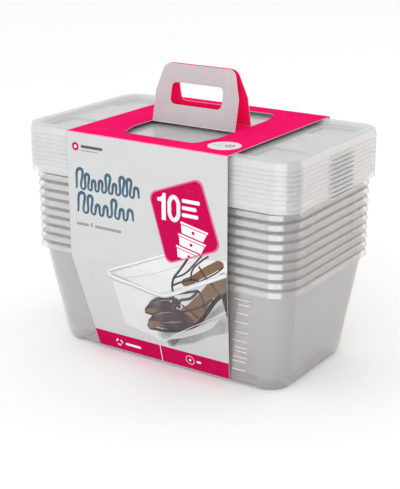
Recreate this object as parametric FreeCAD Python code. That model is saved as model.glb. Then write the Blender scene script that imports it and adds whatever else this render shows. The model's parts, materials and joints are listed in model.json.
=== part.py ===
import FreeCAD, Part
import math
import os

# Retail pack of ten clear nesting storage boxes and their ten lids, held by a printed card sleeve
# with a folding handle. Millimetres. X runs along the boxes' length, Y across them, Z up.
# The origin is on the ground, under the middle of the pack. The printed front looks along -Y.

# ---- driving dimensions -------------------------------------------------------------------------
box_count = 10              # boxes nested in the pack, and as many lids

lid_length = 345.0          # over the lip, without the pull tabs
lid_width = 204.6
lid_corner_radius = 25.0
lid_height = 8.9            # lip to top border
lid_wall = 0.8
lid_flare = 0.28            # outward slope of the lid's skirt, per mm of height
lid_lip_height = 1.0        # upright lip at the foot of the skirt
lid_edge_round = 1.5        # rounding between the skirt and the top border
lid_nest_gap = 0.57         # free space between the skirts of two nested lids
lid_border_width = 8.7      # flat border around the sunk panel
lid_panel_depth = 3.5       # how far the panel is sunk below the border
lid_panel_run = 4.0         # width of the slope from the border down to the panel
pocket_depth = 1.6          # corner pockets, below the panel
pocket_clearance = 6.5      # around the foot that a pocket receives
pocket_radius = 9.0
lid_stop_width = 2.0        # ribs under the border that a nested lid rests on
lid_stop_gap = 0.2          # between a rib and the slope to the panel
pocket_slope = 0.8          # outward slope of a pocket's walls, per mm of height
tab_width = 51.0            # pull tab in the middle of each short end
tab_reach = 4.3
tab_thickness = 1.0
tab_radius = 3.0

rim_clearance_end = 1.0     # box's rim to the inside of a lid, at the short ends
rim_clearance_side = 0.3    # and at the long sides
rim_edge = 0.8              # chamfer along the rim's upper edge
rim_height = 6.2
rim_flare = 1.0             # how much further out the rim's lower edge stands than its top
rim_overhang = 3.6          # top of the box wall to the top of the rim
tub_height = 122.2          # ground to the top of the rim
tub_wall = 1.0
tub_corner_radius = 26.0
tub_draft_end = 0.137       # slope of the short end walls, per mm of height
tub_draft_side = 0.148      # slope of the long side walls
tub_nest_gap = 0.4          # free space between the end walls of two nested boxes
tub_base_round = 3.0        # rounding between the walls and the floor
foot_height = 4.0
foot_inset = 2.2            # base outline to the foot
foot_length = 31.0          # along X
foot_width = 32.0           # along Y
foot_radius = 7.0           # of the foot's corners, all but the one that follows the base
foot_taper = 1.2
nest_stop_width = 2.0       # ribs under the rim that stop a nested box
nest_stop_skin = 0.1        # wall left between a rib's root and the mouth

card_thickness = 0.6
card_clearance = 0.1        # between the sleeve and what it wraps
sleeve_length = 204.9       # along X, at the top and down to the fold
sleeve_side_gap = 4.7       # lid's lip to the inside of the sleeve
sleeve_bottom_length = 176.0
sleeve_base_gap = 0.3       # box base to the inside of the sleeve
fold_drop = 3.6             # fold of the side panels, above the lowest rim's lower edge
glue_flap_width = 16.0
glue_flap_taper = 12.0      # how much shorter each of its ends is than the panel

crease_offset = 16.5        # each handle flap's crease, from the pack's middle plane
flap_length = 65.2          # crease to the flap's free edge
flap_width = 108.0          # at the crease
flap_end_width = 90.0       # at the free edge
flap_straight = 34.0        # where the sides start to taper
flap_corner_radius = 9.0
flap_cut_gap = 0.3          # die-cut gap between a flap and its window
crease_gap = 0.45           # half of the thinned line of the crease
flap_top_gap = 5.44         # between the free edges of the two standing flaps
hand_hole_width = 67.0
hand_hole_height = 24.0
hand_hole_start = 21.0      # crease to the hole's lower edge
hand_hole_radius = 6.0

merge = 0.1                 # how far a cut or a foot runs past the face it has to meet
least_corner = 0.6          # share of a corner's radius that a step inwards leaves at least
base_corner_follow = 0.6    # share of the base rounding by which the corners tighten with it
edge_round_share = 0.35     # where the lid's edge rounding has its middle facet
base_round_profile = ((0, 1), (0.12, 0.52), (0.4, 0.2), (1, 0))    # height and inset, as shares

# ---- sizes that follow --------------------------------------------------------------------------
lid_half = (lid_length / 2, lid_width / 2)
lid_pitch = (lid_wall + lid_nest_gap) / lid_flare
tub_pitch = (tub_wall + tub_nest_gap) / tub_draft_end
lid_shoulder = lid_height - lid_edge_round                  # where the skirt's slope ends
shoulder_inset = lid_flare * (lid_shoulder - lid_lip_height)
border_start = shoulder_inset + lid_edge_round
rim_inset = lid_wall + border_start - rim_edge - rim_flare  # lip to a rim with no clearance
rim_half = (lid_half[0] - rim_inset - rim_clearance_end,    # at the rim's lower edge
            lid_half[1] - rim_inset - rim_clearance_side)
tub_rise = tub_height - foot_height                                      # floor's underside to rim
tub_top_half = tuple(half - rim_flare - rim_overhang for half in rim_half)
tub_base_half = (tub_top_half[0] - tub_draft_end * tub_rise,
                 tub_top_half[1] - tub_draft_side * tub_rise)
top_tub_height = tub_height + (box_count - 1) * tub_pitch
first_lid_base = top_tub_height + lid_wall - lid_height
stack_top = first_lid_base + (box_count - 1) * lid_pitch + lid_height
flap_lean = math.degrees(math.asin((crease_offset - flap_top_gap / 2) / flap_length))
upright = FreeCAD.Vector(0, 0, 1)


# ---- outlines and solids ------------------------------------------------------------------------
def rounded_outline(corners):
    """Closed flat wire through (x, y, z, radius) corners, each rounded by its own radius."""
    count = len(corners)
    starts, ends, middles = [], [], []
    for i, (x, y, z, radius) in enumerate(corners):
        here = FreeCAD.Vector(x, y, z)
        before = FreeCAD.Vector(*corners[i - 1][:3]) - here
        after = FreeCAD.Vector(*corners[(i + 1) % count][:3]) - here
        before.normalize()
        after.normalize()
        half_angle = before.getAngle(after) / 2
        back = radius / math.tan(half_angle)
        bisector = before + after
        bisector.normalize()
        middle = here + bisector * (radius / math.sin(half_angle) - radius)
        starts.append(here + before * back)
        ends.append(here + after * back)
        middles.append(middle)
    edges = []
    for i in range(count):
        if corners[i][3] > 0:
            edges.append(Part.Arc(starts[i], middles[i], ends[i]).toShape())
        edges.append(Part.makeLine(ends[i], starts[(i + 1) % count]))
    return Part.Wire(edges)


def rounded_rectangle(half_x, half_y, radius, z, centre=(0, 0)):
    cx, cy = centre
    return rounded_outline([(cx + sx * half_x, cy + sy * half_y, z, radius)
                            for sx, sy in ((1, -1), (1, 1), (-1, 1), (-1, -1))])


def lofted(sections):
    """Closed solid through (half_x, half_y, radius, z) sections, straight between each two."""
    wires = [rounded_rectangle(*section) for section in sections]
    return Part.makeLoft(wires, True, True)


def stepped(half, radius, steps):
    """Solid whose outline is half, moved in by each step's inset at its height."""
    return lofted([(half[0] - inset, half[1] - inset, max(radius - inset, least_corner * radius), z)
                   for inset, z in steps])


def block(low, high):
    size = [b - a for a, b in zip(low, high)]
    return Part.makeBox(*size, FreeCAD.Vector(*low))


def four_corners(shape):
    """The shape and its mirror images in the two middle planes."""
    origin = FreeCAD.Vector(0, 0, 0)
    pair = [shape, shape.mirror(origin, FreeCAD.Vector(1, 0, 0))]
    return pair + [s.mirror(origin, FreeCAD.Vector(0, 1, 0)) for s in pair]


def copy_at(shape, height):
    moved = shape.copy()
    moved.translate(upright * height)
    return moved


# ---- box ----------------------------------------------------------------------------------------
foot_centre = (tub_base_half[0] - foot_inset - foot_length / 2,
               tub_base_half[1] - foot_inset - foot_width / 2)


def foot(shrink, low, high):
    """Tapered pad at the +X +Y corner of the base, from height low up to high."""
    wires = []
    for z, extra in ((low, foot_taper), (high, 0)):
        inset = shrink + extra
        half_x, half_y = foot_length / 2 - inset, foot_width / 2 - inset
        outer, inner = tub_corner_radius - foot_inset - inset, foot_radius - inset
        wires.append(rounded_outline(
            [(foot_centre[0] + sx * half_x, foot_centre[1] + sy * half_y, z, radius)
             for sx, sy, radius in ((1, -1, inner), (1, 1, outer), (-1, 1, inner), (-1, -1, inner))]))
    return Part.makeLoft(wires, True, True)


def tub_body(offset, low, high):
    """Tapered rounded body of the box, its walls moved in by offset, from low up to high."""
    sections = []
    for height_share, inset_share in base_round_profile:
        sections.append((low + height_share * tub_base_round, inset_share * tub_base_round))
    sections.append((high, 0))
    outlines = []
    for z, inset in sections:
        rise = z - foot_height
        outlines.append((tub_base_half[0] + tub_draft_end * rise - offset - inset,
                         tub_base_half[1] + tub_draft_side * rise - offset - inset,
                         tub_corner_radius - offset - base_corner_follow * inset, z))
    return lofted(outlines)


def rim_ring():
    """Flange around the mouth with a skirt that hangs from its outer edge."""
    top_half = tuple(half - rim_flare for half in rim_half)
    radius = tub_corner_radius + rim_overhang
    low = tub_height - rim_height
    outer = lofted([(rim_half[0], rim_half[1], radius, low),
                    (top_half[0], top_half[1], radius, tub_height - rim_edge),
                    (top_half[0] - rim_edge, top_half[1] - rim_edge, radius - rim_edge,
                     tub_height)])
    hollow = lofted([(rim_half[0] - tub_wall, rim_half[1] - tub_wall, radius - tub_wall, low),
                     (top_half[0] - tub_wall, top_half[1] - tub_wall, radius - tub_wall,
                      tub_height - tub_wall)])
    return outer.cut(hollow)


def nest_stop(x, y, along_x):
    """Rib in the rim's hollow, long enough to stand on the rim of the box below."""
    low = tub_height - tub_pitch
    high = tub_height - tub_wall / 2
    half = nest_stop_width / 2
    reach = rim_overhang
    if along_x:
        return block((x - half, y, low), (x + half, y + reach, high))
    return block((x, y - half, low), (x + reach, y + half, high))


def make_tub():
    root = tub_wall - nest_stop_skin
    stops = (four_corners(nest_stop(tub_top_half[0] - root, tub_top_half[1] / 2, False))
             + four_corners(nest_stop(tub_top_half[0] / 2, tub_top_half[1] - root, True)))
    outside = tub_body(0, foot_height, tub_height)
    feet = four_corners(foot(0, 0, foot_height + tub_wall / 2))
    shape = outside.fuse(feet + [rim_ring()] + stops)
    cavity = tub_body(tub_wall, foot_height + tub_wall, tub_height)
    pockets = four_corners(foot(tub_wall, tub_wall, foot_height + tub_wall + 2 * merge))
    return shape.cut([cavity] + pockets).removeSplitter()


# ---- lid ----------------------------------------------------------------------------------------
panel_start = border_start + lid_border_width
panel_top = lid_height - lid_panel_depth
pocket_top = panel_top - pocket_depth


def skirt_steps(offset, top):
    """Insets and heights of the skirt's surface, offset inwards, up to top."""
    drop = lid_height - top
    return [(offset, 0), (offset, lid_lip_height - drop / 2),
            (offset + shoulder_inset, lid_shoulder - drop),
            (offset + shoulder_inset + edge_round_share * lid_edge_round,
             lid_height - edge_round_share * lid_edge_round - drop),
            (offset + border_start, top)]


def sunk_panel(grow, low, high):
    """The panel's basin, from the panel at low up past the border at high, grown all round."""
    slope = lid_panel_run / lid_panel_depth
    spread = slope * (high - low)
    start = panel_start + lid_panel_run - grow
    return stepped(lid_half, lid_corner_radius, [(start, low), (start - spread, high)])


def pocket(grow, low, high):
    """Basin that receives one foot of a box stacked on top, at the +X +Y corner."""
    half_x = foot_length / 2 + pocket_clearance + grow
    half_y = foot_width / 2 + pocket_clearance + grow
    wires = []
    for z in (low, high):
        spread = pocket_slope * (z - low)
        wires.append(rounded_rectangle(half_x + spread, half_y + spread,
                                       pocket_radius + grow + spread, z, foot_centre))
    return Part.makeLoft(wires, True, True)


def lid_stop(x, y):
    """Rib under the border, long enough to stand on the border of the lid below."""
    half = lid_stop_width / 2
    return block((x - half, y - half, lid_height - lid_pitch),
                 (x + half, y + half, lid_height - lid_wall / 2))


def pull_tab():
    outer = lid_half[0] + tab_reach
    inner = lid_half[0] - lid_wall
    half = tab_width / 2
    wire = rounded_outline([(inner, -half, 0, 0), (outer, -half, 0, tab_radius),
                            (outer, half, 0, tab_radius), (inner, half, 0, 0)])
    return Part.Face(wire).extrude(upright * tab_thickness)


def make_lid():
    """Lid with its lip's lower edge at height zero."""
    skirt = stepped(lid_half, lid_corner_radius, skirt_steps(0, lid_height))
    hollow = stepped(lid_half, lid_corner_radius, skirt_steps(lid_wall, lid_height - lid_wall))
    basin = sunk_panel(lid_wall / 2, panel_top - lid_wall, lid_height - lid_wall / 2)
    cups = four_corners(pocket(lid_wall / 2, pocket_top - lid_wall, panel_top - lid_wall / 2))
    stop_inset = panel_start - lid_stop_width / 2 - lid_stop_gap
    stops = (four_corners(lid_stop(lid_half[0] - stop_inset, lid_half[1] / 2))
             + four_corners(lid_stop(lid_half[0] / 2, lid_half[1] - stop_inset)))
    tab = pull_tab()
    tabs = [tab, tab.mirror(FreeCAD.Vector(0, 0, 0), FreeCAD.Vector(1, 0, 0))]
    shape = skirt.cut(hollow).fuse([basin] + cups + stops + tabs)
    basin_space = sunk_panel(0, panel_top, lid_height + lid_wall)
    pocket_spaces = four_corners(pocket(0, pocket_top, panel_top + merge))
    return shape.cut([basin_space] + pocket_spaces).removeSplitter()


# ---- card sleeve --------------------------------------------------------------------------------
sleeve_inner_half = lid_half[1] + sleeve_side_gap
base_inner_half = tub_base_half[1] + sleeve_base_gap
fold_height = tub_height - rim_height + fold_drop
inner_profile = [(-sleeve_inner_half, stack_top + card_clearance),
                 (sleeve_inner_half, stack_top + card_clearance),
                 (sleeve_inner_half, fold_height),
                 (base_inner_half, foot_height - card_clearance),
                 (-base_inner_half, foot_height - card_clearance),
                 (-sleeve_inner_half, fold_height)]
panel_names = ["sleeve_top_panel", "sleeve_back_panel_upper", "sleeve_back_panel_lower",
               "sleeve_bottom_panel", "sleeve_front_panel_lower", "sleeve_front_panel_upper"]


def outward_normal(a, b):
    """Unit normal of the run from a to b of the clockwise profile, pointing out of it."""
    run = (b[0] - a[0], b[1] - a[1])
    length = math.hypot(*run)
    return (-run[1] / length, run[0] / length)


def offset_profile(points, distance):
    """The closed profile with every run moved out by distance, its corners mitred."""
    moved = []
    for i, point in enumerate(points):
        before = outward_normal(points[i - 1], point)
        after = outward_normal(point, points[(i + 1) % len(points)])
        spread = 1 + before[0] * after[0] + before[1] * after[1]
        moved.append((point[0] + distance * (before[0] + after[0]) / spread,
                      point[1] + distance * (before[1] + after[1]) / spread))
    return moved


def card_strip(section, half_length):
    """Straight strip of card along X with the given section in Y and Z."""
    wire = Part.makePolygon([FreeCAD.Vector(-half_length, y, z) for y, z in section + section[:1]])
    return Part.Face(wire).extrude(FreeCAD.Vector(2 * half_length, 0, 0))


def narrowed(strip):
    """Side panel cut to run in from the sleeve's length at the fold to its length at the base."""
    half_top, half_base = sleeve_length / 2, sleeve_bottom_length / 2
    low, high = foot_height - card_clearance - 2 * card_thickness, fold_height
    reach = sleeve_inner_half + 2 * card_thickness
    corners = [(-half_base, low), (half_base, low), (half_top, high),
               (half_top, high + reach), (-half_top, high + reach), (-half_top, high)]
    wire = Part.makePolygon([FreeCAD.Vector(x, -reach, z) for x, z in corners + corners[:1]])
    return strip.common(Part.Face(wire).extrude(FreeCAD.Vector(0, 2 * reach, 0)))


def flap_outline(grow, start, z):
    """Outline of a handle flap lying flat towards -Y, its crease along Y = 0."""
    wide, narrow = flap_width / 2 + grow, flap_end_width / 2 + grow
    end = flap_length + grow
    return rounded_outline([(-wide, -start, z, 0), (-wide, -flap_straight, z, flap_corner_radius),
                            (-narrow, -end, z, flap_corner_radius),
                            (narrow, -end, z, flap_corner_radius),
                            (wide, -flap_straight, z, flap_corner_radius), (wide, -start, z, 0)])


def flat_card(wire):
    return Part.Face(wire).extrude(upright * card_thickness)


def make_sleeve():
    outer_profile = offset_profile(inner_profile, card_thickness)
    panels = {}
    for i, name in enumerate(panel_names):
        j = (i + 1) % len(panel_names)
        section = [inner_profile[i], inner_profile[j], outer_profile[j], outer_profile[i]]
        if name == "sleeve_bottom_panel":
            panels[name] = card_strip(section, sleeve_bottom_length / 2)
        else:
            panels[name] = card_strip(section, sleeve_length / 2)
        if name.endswith("lower"):
            panels[name] = narrowed(panels[name])
    window = flat_card(flap_outline(flap_cut_gap, -crease_gap, stack_top + card_clearance))
    window.translate(FreeCAD.Vector(0, -crease_offset, 0))
    middle = FreeCAD.Vector(0, 0, 0)
    windows = [window, window.mirror(middle, FreeCAD.Vector(0, 1, 0))]
    panels["sleeve_top_panel"] = panels["sleeve_top_panel"].cut(windows)
    panels["sleeve_glue_flap"] = make_glue_flap()
    return panels


def make_glue_flap():
    """Strip glued inside the back lower panel, from the fold downwards."""
    fold, base = inner_profile[2], inner_profile[3]
    length = math.hypot(base[0] - fold[0], base[1] - fold[1])
    along = ((base[0] - fold[0]) / length, (base[1] - fold[1]) / length)
    normal = outward_normal(fold, base)
    start = (fold[0] + along[0] * card_thickness, fold[1] + along[1] * card_thickness)
    end = (fold[0] + along[0] * glue_flap_width, fold[1] + along[1] * glue_flap_width)
    inwards = (-normal[0] * card_thickness, -normal[1] * card_thickness)
    section = [start, end, (end[0] + inwards[0], end[1] + inwards[1]),
               (start[0] + inwards[0], start[1] + inwards[1])]
    return card_strip(section, sleeve_length / 2 - glue_flap_taper)


def make_flap():
    """Front handle flap, standing on its crease and leaning towards the rear one."""
    flap = flat_card(flap_outline(0, crease_gap, -card_thickness / 2))
    middle = -(hand_hole_start + hand_hole_height / 2)
    hole = flat_card(rounded_rectangle(hand_hole_width / 2, hand_hole_height / 2, hand_hole_radius,
                                       -card_thickness / 2, (0, middle)))
    flap = flap.cut(hole)
    flap.rotate(FreeCAD.Vector(0, 0, 0), FreeCAD.Vector(1, 0, 0), -90 - flap_lean)
    crease_height = stack_top + card_clearance + card_thickness / 2
    flap.translate(FreeCAD.Vector(0, -crease_offset, crease_height))
    return flap


# ---- assembly -----------------------------------------------------------------------------------
def main():
    os.makedirs("parts", exist_ok=True)
    nodes = make_sleeve()
    tub, lid, flap = make_tub(), make_lid(), make_flap()
    for i in range(box_count):
        nodes["tub_%02d" % (i + 1)] = copy_at(tub, i * tub_pitch)
        nodes["lid_%02d" % (i + 1)] = copy_at(lid, first_lid_base + i * lid_pitch)
    nodes["handle_flap_front"] = flap
    nodes["handle_flap_rear"] = flap.mirror(FreeCAD.Vector(0, 0, 0), FreeCAD.Vector(0, 1, 0))
    for name, shape in sorted(nodes.items()):
        solids = shape.Solids
        shape = solids[0] if len(solids) == 1 else Part.makeCompound(solids)
        shape.exportStep("parts/%s.step" % name)
        box = shape.BoundBox
        print("%-26s solids %d valid %s volume %9.1f  x %.2f %.2f  y %.2f %.2f  z %.2f %.2f" % (
            name, len(solids), shape.isValid(), shape.Volume, box.XMin, box.XMax,
            box.YMin, box.YMax, box.ZMin, box.ZMax))
    print("tub pitch %.3f lid pitch %.3f stack top %.2f" % (tub_pitch, lid_pitch, stack_top))


main()
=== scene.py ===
import json
import math
import bmesh
import bpy
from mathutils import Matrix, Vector


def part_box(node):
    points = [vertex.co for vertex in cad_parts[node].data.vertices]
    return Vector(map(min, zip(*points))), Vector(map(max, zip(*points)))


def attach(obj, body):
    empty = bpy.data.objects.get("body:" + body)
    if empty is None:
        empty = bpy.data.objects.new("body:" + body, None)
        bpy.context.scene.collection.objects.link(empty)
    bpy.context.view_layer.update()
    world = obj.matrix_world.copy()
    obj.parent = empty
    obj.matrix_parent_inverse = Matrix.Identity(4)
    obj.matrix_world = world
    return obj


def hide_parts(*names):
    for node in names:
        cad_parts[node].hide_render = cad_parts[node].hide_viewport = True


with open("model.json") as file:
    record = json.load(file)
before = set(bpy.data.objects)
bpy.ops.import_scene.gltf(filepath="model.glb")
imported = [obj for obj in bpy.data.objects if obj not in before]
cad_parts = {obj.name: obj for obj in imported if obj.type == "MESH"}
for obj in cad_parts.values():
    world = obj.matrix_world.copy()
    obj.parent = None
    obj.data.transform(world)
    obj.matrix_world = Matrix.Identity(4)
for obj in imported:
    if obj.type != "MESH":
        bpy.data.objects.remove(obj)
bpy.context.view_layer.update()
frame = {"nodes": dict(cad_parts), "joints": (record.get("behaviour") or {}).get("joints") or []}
nodes = frame["nodes"]
mm = 0.001
print("frame loaded:", len(nodes), "nodes")


# selecting and shaping
def deselectAll():
    for item in list(bpy.context.selected_objects):
        item.select_set(False)


def pick(*objects):
    deselectAll()
    for item in objects:
        item.select_set(True)
    bpy.context.view_layer.objects.active = objects[0]


def added(name, operator, **settings):
    # adds a primitive, a lamp or the camera
    deselectAll()
    operator(**settings)
    made = bpy.context.object
    made.name = name
    return made


def openEdit(obj, kind="FACE"):
    pick(obj)
    bpy.ops.object.mode_set(mode="EDIT")
    bpy.ops.mesh.select_mode(type=kind)
    bpy.ops.mesh.select_all(action="DESELECT")


def closeEdit():
    bpy.ops.object.mode_set(mode="OBJECT")


def chooseAll():
    bpy.ops.mesh.select_all(action="SELECT")


def choose(obj, kind, test):
    # selects in edit mode what passes the test, and says how many did
    bpy.ops.mesh.select_mode(type=kind)
    bpy.ops.mesh.select_all(action="DESELECT")
    mesh = bmesh.from_edit_mesh(obj.data)
    items = {"VERT": mesh.verts, "EDGE": mesh.edges, "FACE": mesh.faces}[kind]
    chosen = [item for item in items if test(item)]
    for item in chosen:
        item.select_set(True)
    mesh.select_flush_mode()
    bmesh.update_edit_mesh(obj.data)
    return len(chosen)


def settle(obj):
    # puts the object's place into its mesh
    pick(obj)
    bpy.ops.object.transform_apply(location=True, rotation=True, scale=True)


def finishWith(obj, kind, **settings):
    pick(obj)
    modifier = obj.modifiers.new(kind.title(), kind)
    for name, value in settings.items():
        setattr(modifier, name, value)
    bpy.ops.object.modifier_apply(modifier=modifier.name)


def faceOut(obj):
    openEdit(obj)
    chooseAll()
    bpy.ops.mesh.normals_make_consistent(inside=False)
    closeEdit()


def softShade(obj, degrees=35):
    pick(obj)
    bpy.ops.object.shade_smooth_by_angle(angle=math.radians(degrees))


def copyOf(obj, name):
    twin = obj.copy()
    twin.data = obj.data.copy()
    twin.name = name
    bpy.context.collection.objects.link(twin)
    return twin


def joined(name, parts):
    pick(*parts)
    if len(parts) > 1:
        bpy.ops.object.join()
    whole = bpy.context.view_layer.objects.active
    whole.name = name
    return whole


def paint(obj, *names):
    obj.data.materials.clear()
    for name in names:
        obj.data.materials.append(finishes[name])
    return obj


# node helpers
def addNode(tree, kind, spot, **settings):
    made = tree.nodes.new(kind)
    made.location = spot
    for name, value in settings.items():
        setattr(made, name, value)
    return made


def fill(tree, node, values):
    # links what comes from another node and sets the rest
    for key, value in values.items():
        if isinstance(value, bpy.types.NodeSocket):
            tree.links.new(value, node.inputs[key])
        else:
            node.inputs[key].default_value = value
    return node


def newGroup(name, takes, gives):
    group = bpy.data.node_groups.new(name, "ShaderNodeTree")
    for label, kind, value in takes:
        socket = group.interface.new_socket(name=label, in_out="INPUT", socket_type=kind)
        if value is not None:
            socket.default_value = value
    for label, kind in gives:
        group.interface.new_socket(name=label, in_out="OUTPUT", socket_type=kind)
    entry = addNode(group, "NodeGroupInput", (-1100, 0))
    leave = addNode(group, "NodeGroupOutput", (700, 0))
    return group, entry, leave


def noiseFrom(tree, vector, spot, scale, stretch=(1, 1, 1), detail=3.0, roughness=0.55):
    mapping = addNode(tree, "ShaderNodeMapping", (spot[0] - 200, spot[1]))
    fill(tree, mapping, {"Vector": vector, "Scale": [scale * share for share in stretch]})
    noise = addNode(tree, "ShaderNodeTexNoise", spot)
    fill(tree, noise, {"Vector": mapping.outputs["Vector"], "Scale": 1.0, "Detail": detail,
                       "Roughness": roughness})
    return noise.outputs["Fac"]


def ranged(tree, value, spot, low, high, fromLow=0.0, fromHigh=1.0):
    mapped = addNode(tree, "ShaderNodeMapRange", spot, clamp=True)
    return fill(tree, mapped, {"Value": value, "From Min": fromLow, "From Max": fromHigh,
                               "To Min": low, "To Max": high}).outputs["Result"]


def worked(tree, operation, spot, first, second):
    made = addNode(tree, "ShaderNodeMath", spot, operation=operation)
    return fill(tree, made, {0: first, 1: second}).outputs["Value"]


def blended(tree, spot, share, first, second):
    mix = addNode(tree, "ShaderNodeMix", spot, data_type="RGBA")
    # of the node's many sockets these are the ones for colours
    return fill(tree, mix, {0: share, 6: first, 7: second}).outputs[2]


def ink(red, green, blue):
    # screen colour, 0 to 255, as the shader's linear one
    def linear(value):
        share = value / 255
        return share / 12.92 if share <= 0.04045 else ((share + 0.055) / 1.055) ** 2.4
    return (linear(red), linear(green), linear(blue), 1.0)


# shared effects
grains = {
    # patches of each pattern to a metre
    "hairline": (90, 16, 60), "worn": 38, "cloud": 26, "flow": 120, "peel": 900,
    "mottle": 45, "print": 2600, "fibre": 900, "streak": 60,
    # colour of a hairline on plastic and on card, its width as a share of a patch
    "hairWhite": (0.95, 0.96, 0.97, 1), "hairGrey": (0.86, 0.85, 0.84, 1), "hairWidth": 0.012,
    "plasticRough": (0.09, 0.16), "cardRough": (0.38, 0.56),
    "middle": (0.3, 0.7),         # where nearly all of a noise lies
}


def swing(tree, noise, spot, reach):
    # noise seldom leaves its middle, so that part is spread over the whole reach
    return ranged(tree, noise, spot, -reach, reach, *grains["middle"])


def buildScuffs():
    # fine hairline marks that come and go in patches
    group, entry, leave = newGroup(
        "scuffs",
        [("Place", "NodeSocketVector", None), ("Amount", "NodeSocketFloat", 0.5)],
        [("Mask", "NodeSocketFloat")])
    lines = []
    for turn, spot in ((0.5, 300), (-0.9, 0)):
        mapping = addNode(group, "ShaderNodeMapping", (-900, spot))
        fill(group, mapping, {"Vector": entry.outputs["Place"], "Scale": grains["hairline"],
                              "Rotation": (turn, turn * 0.7, turn * 1.3)})
        cells = addNode(group, "ShaderNodeTexVoronoi", (-700, spot), feature="DISTANCE_TO_EDGE")
        fill(group, cells, {"Vector": mapping.outputs["Vector"], "Scale": 1.0})
        lines.append(ranged(group, cells.outputs["Distance"], (-500, spot), 1.0, 0.0, 0.0,
                            grains["hairWidth"]))
    both = worked(group, "MAXIMUM", (-300, 150), lines[0], lines[1])
    patches = noiseFrom(group, entry.outputs["Place"], (-500, -300), grains["worn"], detail=2.0)
    patches = ranged(group, patches, (-300, -300), 0.0, 1.0, 0.5, 0.68)
    mask = worked(group, "MULTIPLY", (0, 0), both, patches)
    mask = worked(group, "MULTIPLY", (200, 0), mask, entry.outputs["Amount"])
    fill(group, leave, {"Mask": mask})
    return group


scuffs = buildScuffs()


def buildMoulded():
    # injection moulded plastic: cloudy density, long flow marks, a faint orange peel and hairlines
    group, entry, leave = newGroup(
        "mouldedPlastic",
        [("Place", "NodeSocketVector", None), ("Tint", "NodeSocketColor", (1, 1, 1, 1)),
         ("Density", "NodeSocketFloat", 0.5), ("Cloud", "NodeSocketFloat", 0.1),
         ("Flow", "NodeSocketFloat", 0.1), ("Scuff", "NodeSocketFloat", 0.4)],
        [("Colour", "NodeSocketColor"), ("Roughness", "NodeSocketFloat"),
         ("Alpha", "NodeSocketFloat"), ("Height", "NodeSocketFloat")])
    place = entry.outputs["Place"]
    cloud = noiseFrom(group, place, (-700, 400), grains["cloud"], detail=4.0)
    flow = noiseFrom(group, place, (-700, 150), grains["flow"], stretch=(1, 1, 0.08), detail=3.0)
    peel = noiseFrom(group, place, (-700, -100), grains["peel"], detail=1.0)
    hair = addNode(group, "ShaderNodeGroup", (-700, -350), node_tree=scuffs)
    fill(group, hair, {"Place": place, "Amount": entry.outputs["Scuff"]})
    cloudy = worked(group, "MULTIPLY", (-400, 400), swing(group, cloud, (-550, 400), 1.0),
                    entry.outputs["Cloud"])
    flowing = worked(group, "MULTIPLY", (-400, 150), swing(group, flow, (-550, 150), 1.0),
                     entry.outputs["Flow"])
    change = worked(group, "ADD", (-200, 300), cloudy, flowing)
    bright = worked(group, "ADD", (0, 300), change, 1.0)
    tone = addNode(group, "ShaderNodeHueSaturation", (200, 300))
    fill(group, tone, {"Value": bright, "Color": entry.outputs["Tint"]})
    marked = blended(group, (400, 300), hair.outputs["Mask"], tone.outputs["Color"], grains["hairWhite"])
    alpha = worked(group, "ADD", (0, 50), entry.outputs["Density"], change)
    denser = worked(group, "MULTIPLY", (0, -100), hair.outputs["Mask"], 0.3)
    alpha = worked(group, "ADD", (200, 50), alpha, denser)
    rough = ranged(group, flow, (0, -250), *grains["plasticRough"], *grains["middle"])
    duller = worked(group, "MULTIPLY", (0, -400), hair.outputs["Mask"], 0.25)
    rough = worked(group, "ADD", (200, -250), rough, duller)
    height = worked(group, "ADD", (200, -500), worked(group, "MULTIPLY", (0, -550), peel, 0.35), flow)
    fill(group, leave, {"Colour": marked, "Roughness": rough, "Alpha": alpha, "Height": height})
    return group


moulded = buildMoulded()


def buildCardStock():
    # coated folding board: slow ink mottle, a printer's grain, long fibres and hairlines
    group, entry, leave = newGroup(
        "cardStock",
        [("Place", "NodeSocketVector", None), ("Ink", "NodeSocketColor", (1, 1, 1, 1)),
         ("Mottle", "NodeSocketFloat", 0.05), ("Fibre", "NodeSocketFloat", 0.3),
         ("Scuff", "NodeSocketFloat", 0.2)],
        [("Colour", "NodeSocketColor"), ("Roughness", "NodeSocketFloat"),
         ("Height", "NodeSocketFloat")])
    place = entry.outputs["Place"]
    slow = noiseFrom(group, place, (-700, 400), grains["mottle"], detail=4.0)
    grain = noiseFrom(group, place, (-700, 150), grains["print"], detail=1.0)
    fibre = noiseFrom(group, place, (-700, -100), grains["fibre"], stretch=(0.16, 1, 1),
                      detail=3.0, roughness=0.65)
    hair = addNode(group, "ShaderNodeGroup", (-700, -350), node_tree=scuffs)
    fill(group, hair, {"Place": place, "Amount": entry.outputs["Scuff"]})
    uneven = worked(group, "ADD", (-400, 300), swing(group, slow, (-550, 400), 0.7),
                    swing(group, grain, (-550, 150), 0.5))
    fibrous = worked(group, "MULTIPLY", (-400, -50), swing(group, fibre, (-550, -100), 1.0),
                     entry.outputs["Fibre"])
    change = worked(group, "MULTIPLY", (-200, 200), worked(group, "ADD", (-300, 200), uneven, fibrous),
                    entry.outputs["Mottle"])
    tone = addNode(group, "ShaderNodeHueSaturation", (200, 300))
    bright = worked(group, "ADD", (0, 300), change, 1.0)
    fill(group, tone, {"Value": bright, "Color": entry.outputs["Ink"]})
    marked = blended(group, (400, 300), hair.outputs["Mask"], tone.outputs["Color"], grains["hairGrey"])
    rough = ranged(group, fibre, (0, -150), *grains["cardRough"], *grains["middle"])
    height = worked(group, "ADD", (200, -400), worked(group, "MULTIPLY", (0, -450), grain, 0.3), fibrous)
    fill(group, leave, {"Colour": marked, "Roughness": rough, "Height": height})
    return group


cardStock = buildCardStock()
print("shared effects ready")


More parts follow.
